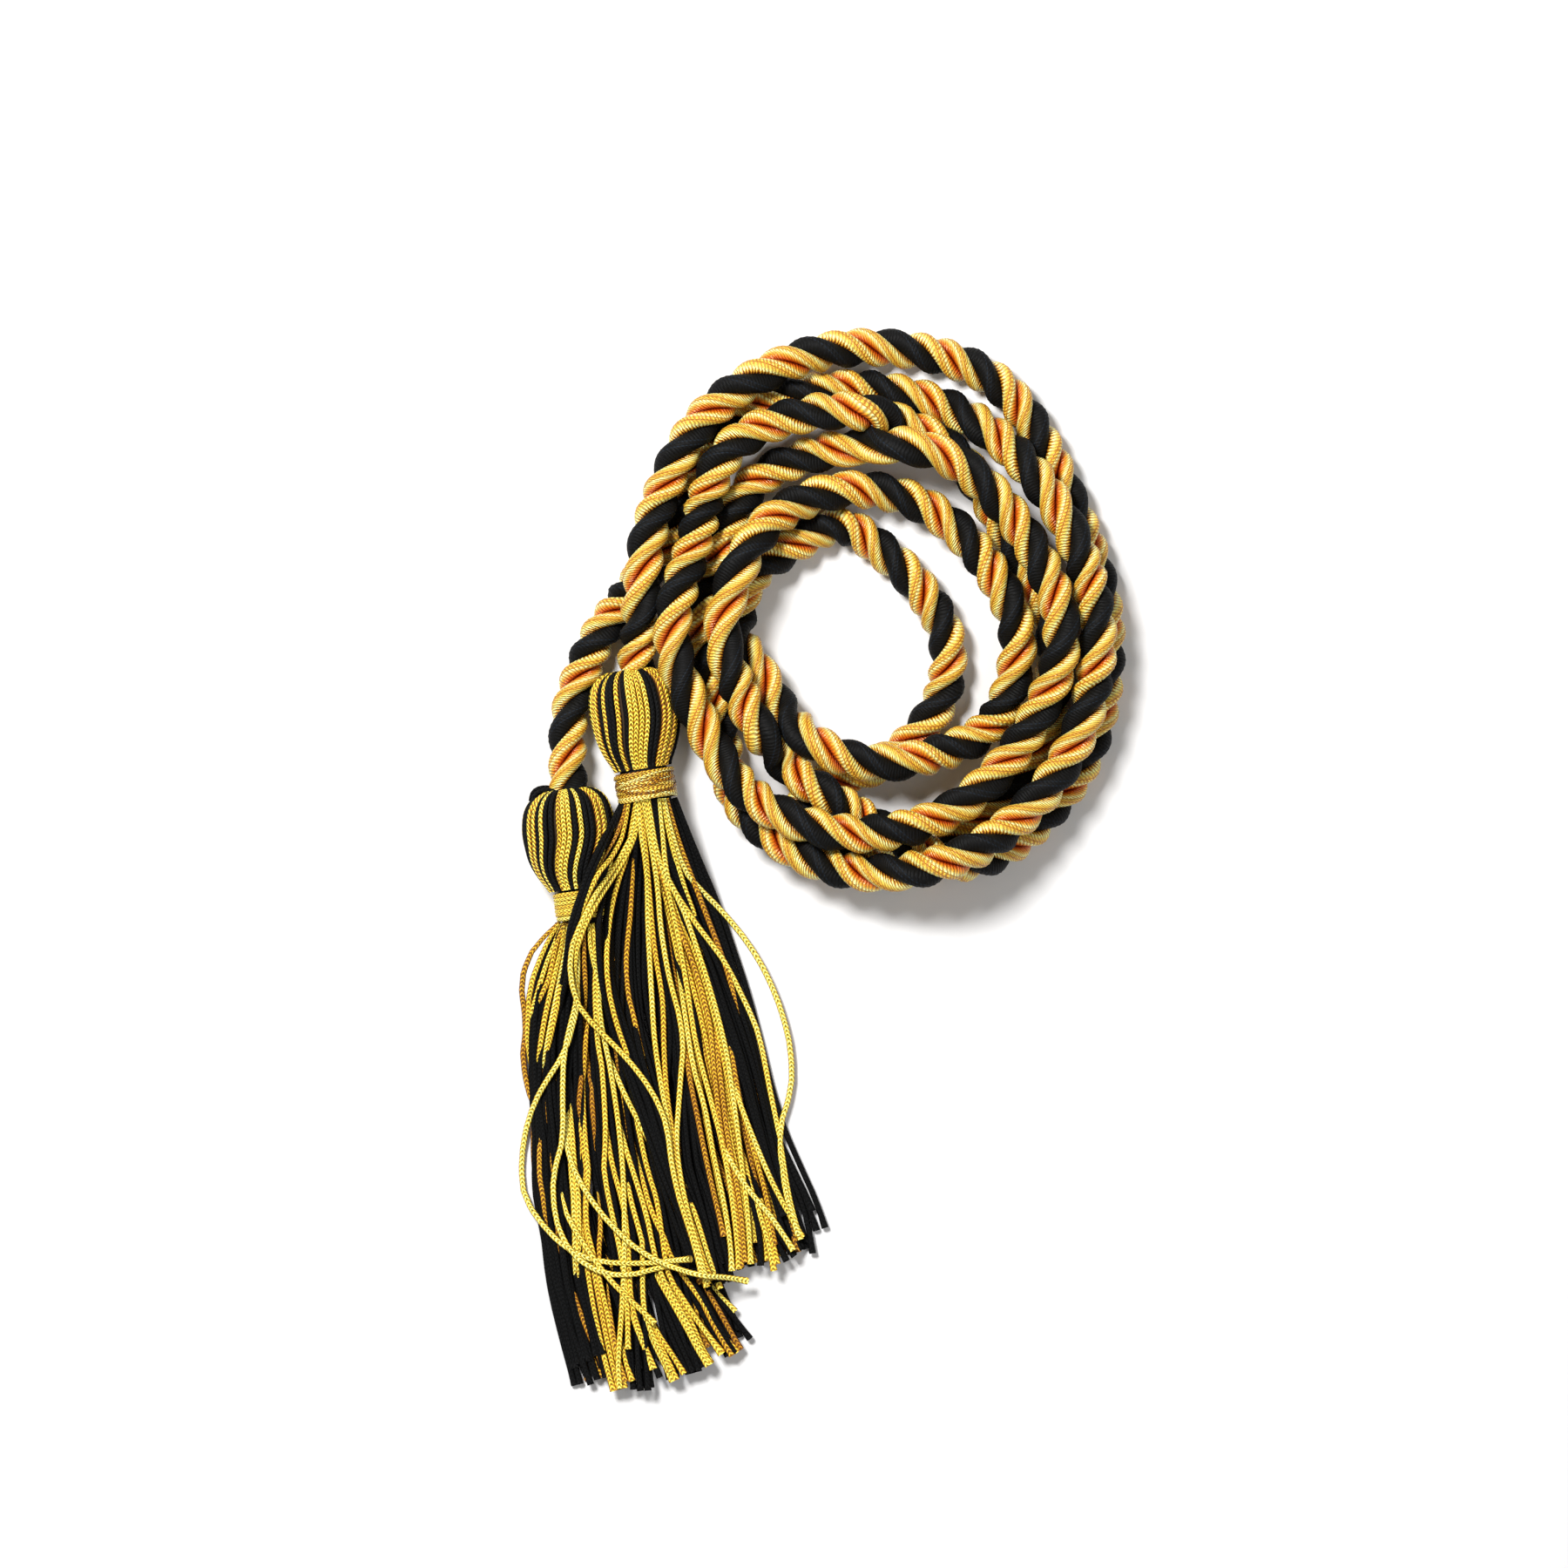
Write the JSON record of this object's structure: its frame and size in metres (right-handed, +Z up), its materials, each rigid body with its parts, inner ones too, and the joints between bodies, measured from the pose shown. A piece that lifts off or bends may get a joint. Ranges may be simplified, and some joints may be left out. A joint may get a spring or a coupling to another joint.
{
  "type": "honor cord",
  "caption": "Thick twisted rope in gold and black, folded double and laid in a flat coil, with a full yarn tassel on each end",
  "frame": {"origin": "middle of the underside of the bounding box, on the table", "axes": "+Z up from the table, +Y from the tassels towards the coil, +X to the right as the cord is seen from above"},
  "size_m": [0.1208, 0.2126, 0.0225],
  "materials": {
    "rope": "lustrous rayon threads wrapped round each ply, two plies gold and one black",
    "yarn": "matt chainette yarn, lemon yellow and near-black strands",
    "winding": "fine gold thread wound criss-cross, slight lustre"
  },
  "bodies": {
    "root": {"rope_coil": "rope", "left_tail": "rope", "right_tail": "rope", "left_head": "yarn", "left_neck_winding": "winding", "left_skirt": "yarn", "right_head": "yarn", "right_neck_winding": "winding", "right_skirt": "yarn"}
  },
  "joints": []
}
